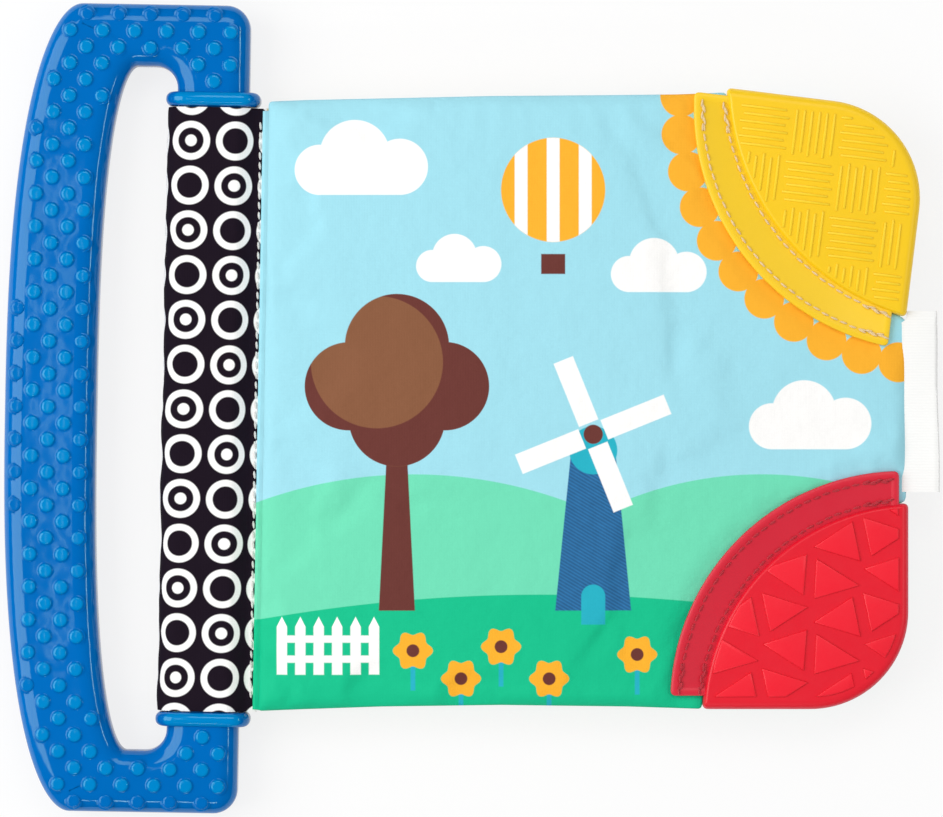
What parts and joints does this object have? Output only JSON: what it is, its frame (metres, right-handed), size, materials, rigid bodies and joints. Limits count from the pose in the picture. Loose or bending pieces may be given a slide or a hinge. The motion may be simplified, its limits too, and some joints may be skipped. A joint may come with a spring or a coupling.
{
  "type": "teether book",
  "caption": "Padded cloth baby book with a moulded grip handle through its spine sleeve and two chewable corner teethers.",
  "frame": {"origin": "under the middle of the whole object, on the surface that it lies on", "axes": "+X from the handle to the free edge, +Y up the spine, +Z out of the front cover"},
  "size_m": [0.2344, 0.2034, 0.0171],
  "materials": {
    "handle_plastic": "gloss",
    "sleeve_cloth": "matte",
    "sleeve_ink": "matte",
    "white_thread": "satin",
    "leaf_cloth": "matte",
    "back_cloth": "matte",
    "padding": "matte",
    "lining_cloth": "matte",
    "front_cloth": "satin",
    "yellow_rubber": "satin",
    "orange_thread": "satin",
    "red_rubber": "satin",
    "crimson_thread": "satin",
    "label_satin": "satin",
    "white_ink": "satin",
    "mint_ink": "satin",
    "green_ink": "satin",
    "orange_ink": "satin",
    "brown_ink": "satin",
    "blue_ink": "satin",
    "teal_ink": "satin"
  },
  "bodies": {
    "root": {"handle": "handle_plastic", "spine_sleeve": "sleeve_cloth", "sleeve_print": "sleeve_ink", "spine_thread": "white_thread", "page_block": "leaf_cloth"},
    "front_cover": {"front_cover_face": "front_cloth", "front_cover_padding": "padding", "front_cover_lining": "lining_cloth", "yellow_corner_teether": "yellow_rubber", "yellow_corner_thread": "orange_thread", "red_corner_teether": "red_rubber", "red_corner_thread": "crimson_thread", "side_label": "label_satin", "cover_print_white": "white_ink", "cover_print_mint": "mint_ink", "cover_print_green": "green_ink", "cover_print_orange": "orange_ink", "cover_print_brown": "brown_ink", "cover_print_blue": "blue_ink", "cover_print_teal": "teal_ink"},
    "back_cover": {"back_cover_face": "back_cloth", "back_cover_padding": "padding", "back_cover_lining": "lining_cloth"}
  },
  "joints": [
    {"name": "front_cover_hinge", "type": "hinge", "parent": "root", "child": "front_cover", "pos_m": [-0.0525, -0.0005, 0.0151], "axis": [-0.0175, -0.9998, 0], "range_deg": [0, 170]},
    {"name": "back_cover_hinge", "type": "hinge", "parent": "root", "child": "back_cover", "pos_m": [-0.0525, -0.0005, 0.0006], "axis": [0.0175, 0.9998, 0], "range_deg": [0, 160]}
  ]
}
